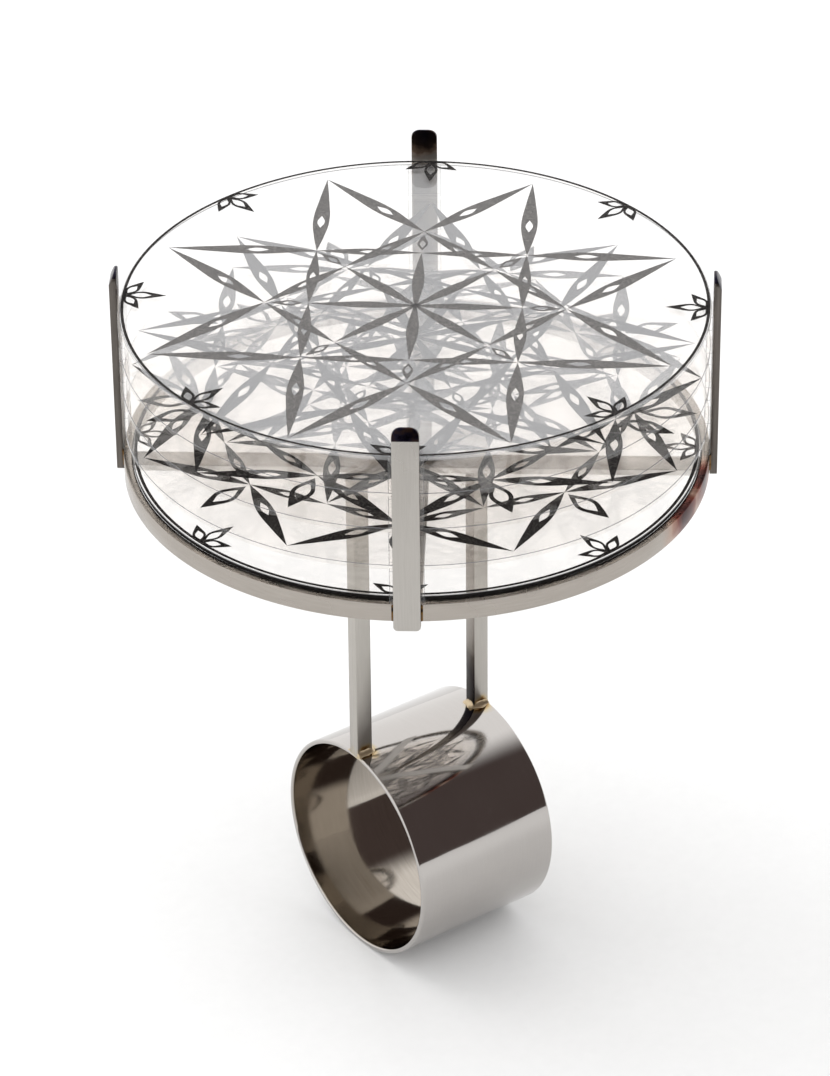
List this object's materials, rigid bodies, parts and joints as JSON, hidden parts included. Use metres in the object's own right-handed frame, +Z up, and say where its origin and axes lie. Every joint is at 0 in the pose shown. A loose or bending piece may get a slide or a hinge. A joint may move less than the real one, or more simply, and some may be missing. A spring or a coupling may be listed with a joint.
{
  "type": "finger ring",
  "caption": "Statement finger ring: a wide metal band with posts that carry a stack of clear patterned discs between claws; the upper discs turn.",
  "frame": {"origin": "centre of the finger bore, half way along the band", "axes": "+X along the finger, +Z up towards the discs, +Y across the finger"},
  "size_m": [0.0468, 0.0468, 0.0622],
  "materials": {
    "band_steel": "mirror-polished stainless steel",
    "strip_steel": "satin-sanded stainless strip",
    "clear_acrylic": "clear polished sheet",
    "hard_solder": "hard solder with heat tint"
  },
  "bodies": {
    "ring_frame": {"finger_band": "band_steel", "post_front": "strip_steel", "post_rear": "strip_steel", "bridge_bar": "strip_steel", "foot_solder_front": "hard_solder", "foot_solder_rear": "hard_solder", "bezel_hoop": "strip_steel", "crossbar_long": "strip_steel", "crossbar_side": "strip_steel", "claw_rear": "strip_steel", "claw_left": "strip_steel", "claw_front": "strip_steel", "claw_right": "strip_steel", "base_disc": "clear_acrylic", "claw_solder_rear_1": "hard_solder", "claw_solder_rear_2": "hard_solder", "claw_solder_left_1": "hard_solder", "claw_solder_left_2": "hard_solder", "claw_solder_front_1": "hard_solder", "claw_solder_front_2": "hard_solder", "claw_solder_right_1": "hard_solder", "claw_solder_right_2": "hard_solder", "spacer_upper_rear": "clear_acrylic", "spacer_upper_left": "clear_acrylic", "spacer_upper_front": "clear_acrylic", "spacer_upper_right": "clear_acrylic", "spacer_middle_rear": "clear_acrylic", "spacer_middle_left": "clear_acrylic", "spacer_middle_front": "clear_acrylic", "spacer_middle_right": "clear_acrylic", "spacer_lower_rear": "clear_acrylic", "spacer_lower_left": "clear_acrylic", "spacer_lower_front": "clear_acrylic", "spacer_lower_right": "clear_acrylic", "spacer_base_rear": "clear_acrylic", "spacer_base_left": "clear_acrylic", "spacer_base_front": "clear_acrylic", "spacer_base_right": "clear_acrylic"},
    "top_disc": {"top_disc": "clear_acrylic"},
    "second_disc": {"second_disc": "clear_acrylic"},
    "third_disc": {"third_disc": "clear_acrylic"},
    "fourth_disc": {"fourth_disc": "clear_acrylic"}
  },
  "joints": [
    {"name": "top_disc_turn", "type": "hinge", "parent": "ring_frame", "child": "top_disc", "pos_m": [0, 0, 0.0498], "axis": [0, 0, 1], "continuous": true},
    {"name": "second_disc_turn", "type": "hinge", "parent": "ring_frame", "child": "second_disc", "pos_m": [0, 0, 0.04655], "axis": [0, 0, 1], "continuous": true},
    {"name": "third_disc_turn", "type": "hinge", "parent": "ring_frame", "child": "third_disc", "pos_m": [0, 0, 0.0434], "axis": [0, 0, 1], "continuous": true},
    {"name": "fourth_disc_turn", "type": "hinge", "parent": "ring_frame", "child": "fourth_disc", "pos_m": [0, 0, 0.0401], "axis": [0, 0, 1], "continuous": true}
  ]
}
